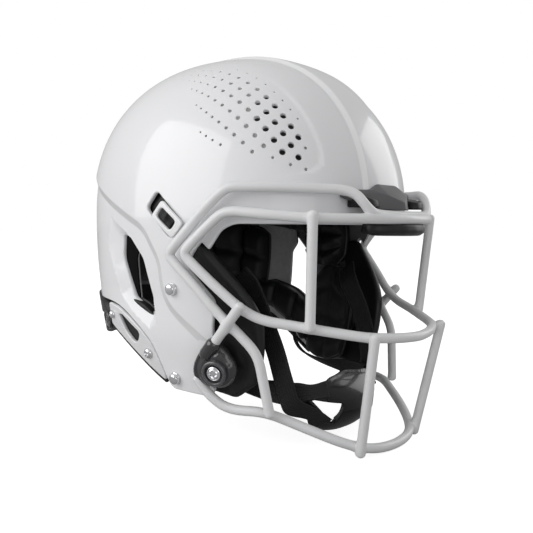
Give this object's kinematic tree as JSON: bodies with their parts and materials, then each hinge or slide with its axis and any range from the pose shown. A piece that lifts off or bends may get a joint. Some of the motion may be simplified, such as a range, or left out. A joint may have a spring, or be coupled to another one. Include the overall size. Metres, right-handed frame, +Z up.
{
  "type": "american football helmet",
  "caption": "Hard-shell football helmet with a welded wire face guard, padded lining, ear and crown vents, and a cup chin strap on webbing.",
  "frame": {"origin": "middle of the bounding box's bottom face, on the ground", "axes": "+Z up; the wearer faces -Y; the wearer's right side is -X"},
  "size_m": [0.2452, 0.3109, 0.3042],
  "materials": {
    "shell_gloss": "glossy white",
    "guard_coat": "smooth white powder coat",
    "chrome": "polished",
    "bumper_rubber": "satin",
    "clip_plastic": "smoky, glossy",
    "washer_plastic": "smoky, glossy",
    "white_plastic": "satin white",
    "grey_plastic": "satin light grey",
    "dark_rubber": "satin",
    "webbing": "woven",
    "cup_plastic": "glossy",
    "foam_fabric": "padded",
    "liner_fabric": "padded, knit cover"
  },
  "bodies": {
    "helmet": {"shell": "shell_gloss", "nose_bumper": "bumper_rubber", "brow_lip": "dark_rubber", "outer_bar": "guard_coat", "eye_bar": "guard_coat", "bottom_bar": "guard_coat", "upper_post_l": "guard_coat", "upper_post_r": "guard_coat", "lower_post_l": "guard_coat", "lower_post_r": "guard_coat", "stub_bar_l": "guard_coat", "stub_bar_r": "guard_coat", "side_clip_l": "clip_plastic", "side_clip_r": "clip_plastic", "side_washer_l": "washer_plastic", "side_washer_r": "washer_plastic", "snap_upper_l": "chrome", "snap_upper_r": "chrome", "snap_lower_l": "chrome", "snap_lower_r": "chrome", "strip_screw_l": "chrome", "strip_screw_r": "chrome", "rear_screw_l": "chrome", "rear_screw_r": "chrome", "neck_strip_l": "grey_plastic", "neck_strip_r": "grey_plastic", "rear_plate": "dark_rubber", "crown_pad_l": "liner_fabric", "crown_pad_r": "liner_fabric", "front_pad": "liner_fabric", "rear_pad": "liner_fabric", "nape_pad": "liner_fabric", "side_pad_l": "liner_fabric", "side_pad_r": "liner_fabric", "ear_pad_l": "liner_fabric", "ear_pad_r": "liner_fabric", "jaw_pad_l": "liner_fabric", "jaw_pad_r": "liner_fabric", "jaw_band_l": "dark_rubber", "jaw_band_r": "dark_rubber"},
    "chin_strap": {"chin_cup": "cup_plastic", "chin_pad": "foam_fabric", "strap_high_l": "webbing", "strap_high_r": "webbing", "strap_low_l": "webbing", "strap_low_r": "webbing"},
    "side_screw_l": {"side_screw_l": "chrome"},
    "temple_clip_l": {"temple_clip_l": "white_plastic"},
    "side_screw_r": {"side_screw_r": "chrome"},
    "temple_clip_r": {"temple_clip_r": "white_plastic"}
  },
  "joints": [
    {"name": "chin_strap_swing", "type": "hinge", "parent": "helmet", "child": "chin_strap", "pos_m": [0, -0.0381, 0.075], "axis": [1, 0, 0], "range_deg": [-3, 9]},
    {"name": "side_screw_l_turn", "type": "hinge", "parent": "helmet", "child": "side_screw_l", "pos_m": [0.10459, -0.04629, 0.05963], "axis": [0.9385, -0.2771, -0.2058], "range_deg": [0, 90]},
    {"name": "temple_clip_l_slide", "type": "slide", "parent": "helmet", "child": "temple_clip_l", "axis": [0.0462, 0.7602, 0.648], "range_m": [0, 0.008]},
    {"name": "side_screw_r_turn", "type": "hinge", "parent": "helmet", "child": "side_screw_r", "pos_m": [-0.10459, -0.04629, 0.05963], "axis": [-0.9385, -0.2771, -0.2058], "range_deg": [0, 90]},
    {"name": "temple_clip_r_slide", "type": "slide", "parent": "helmet", "child": "temple_clip_r", "axis": [-0.0462, 0.7602, 0.648], "range_m": [0, 0.008]}
  ]
}
